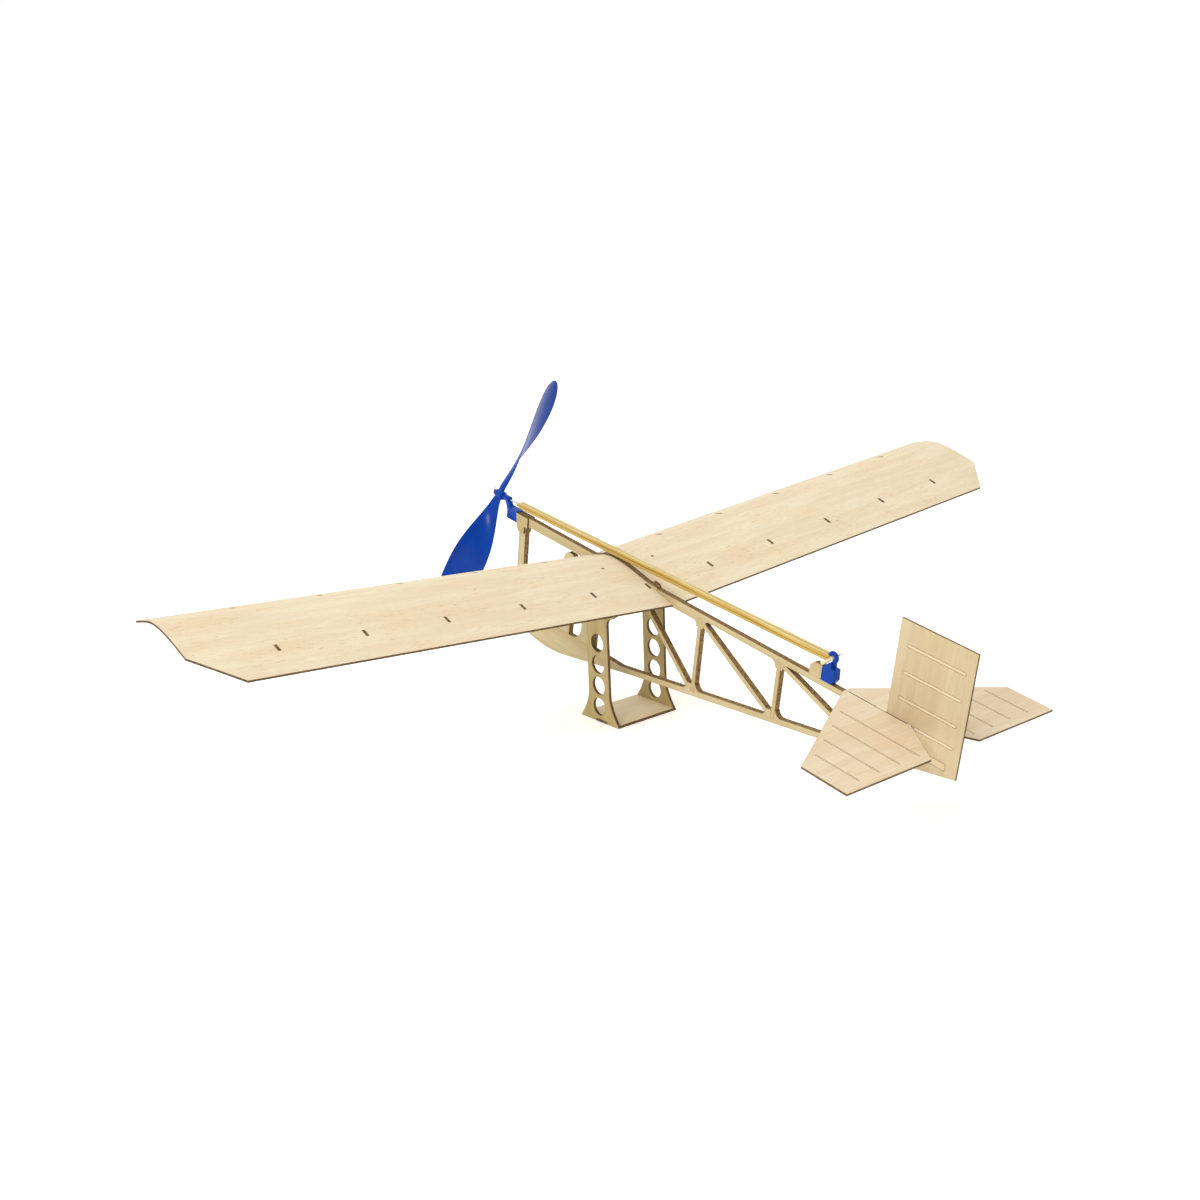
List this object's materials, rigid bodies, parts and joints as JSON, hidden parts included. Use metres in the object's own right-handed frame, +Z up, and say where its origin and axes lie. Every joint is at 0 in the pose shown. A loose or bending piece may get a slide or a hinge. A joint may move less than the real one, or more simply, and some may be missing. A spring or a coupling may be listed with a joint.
{
  "type": "rubber band plane",
  "caption": "Rubber-powered model aeroplane with a flat truss fuselage, curved sheet wing, two-legged skid undercarriage, sheet tail and a free-turning two-blade propeller.",
  "frame": {"origin": "middle of the skid plate's flat underside, on which the aeroplane stands", "axes": "+X towards the nose, +Y towards the port wing tip, +Z up; the deck is pitched nose up by 10 degrees about Y"},
  "size_m": [0.3419, 0.5002, 0.1606],
  "materials": {
    "balsa": "bare sheet with scorched laser-cut edges",
    "balsa_dark": "bare sheet, warmer, with scorched laser-cut edges",
    "blue_plastic": "moulded, glossy",
    "steel_wire": "bare spring wire",
    "rubber_strip": "bare tan strip"
  },
  "bodies": {
    "airframe": {"deck_longeron": "balsa", "keel_longeron": "balsa", "belly_plate": "balsa", "front_upright": "balsa", "web_plate": "balsa", "wing_pylon": "balsa", "mid_upright": "balsa", "rear_upright": "balsa", "front_diagonal": "balsa", "mid_diagonal": "balsa", "rear_diagonal": "balsa", "left_wing_skin": "balsa", "right_wing_skin": "balsa", "skid_plate": "balsa", "stabilizer": "balsa", "fin": "balsa", "hook_post": "balsa", "left_nose_doubler": "balsa_dark", "right_nose_doubler": "balsa_dark", "left_rib_0": "balsa_dark", "left_rib_1": "balsa_dark", "left_rib_2": "balsa_dark", "left_rib_3": "balsa_dark", "left_rib_4": "balsa_dark", "left_rib_5": "balsa_dark", "right_rib_0": "balsa_dark", "right_rib_1": "balsa_dark", "right_rib_2": "balsa_dark", "right_rib_3": "balsa_dark", "right_rib_4": "balsa_dark", "right_rib_5": "balsa_dark", "left_leg": "balsa_dark", "right_leg": "balsa_dark", "left_leg_block": "balsa_dark", "right_leg_block": "balsa_dark", "left_stab_battens": "balsa_dark", "right_stab_battens": "balsa_dark", "fin_battens": "balsa_dark", "nose_bearing": "blue_plastic", "rear_hook": "blue_plastic", "rubber_motor": "rubber_strip"},
    "propeller": {"propeller": "blue_plastic", "prop_shaft": "steel_wire", "thrust_bead": "blue_plastic"}
  },
  "joints": [
    {"name": "propeller_spin", "type": "hinge", "parent": "airframe", "child": "propeller", "pos_m": [0.0989, 0, 0.09915], "axis": [0.9848, 0, 0.1736], "continuous": true}
  ]
}
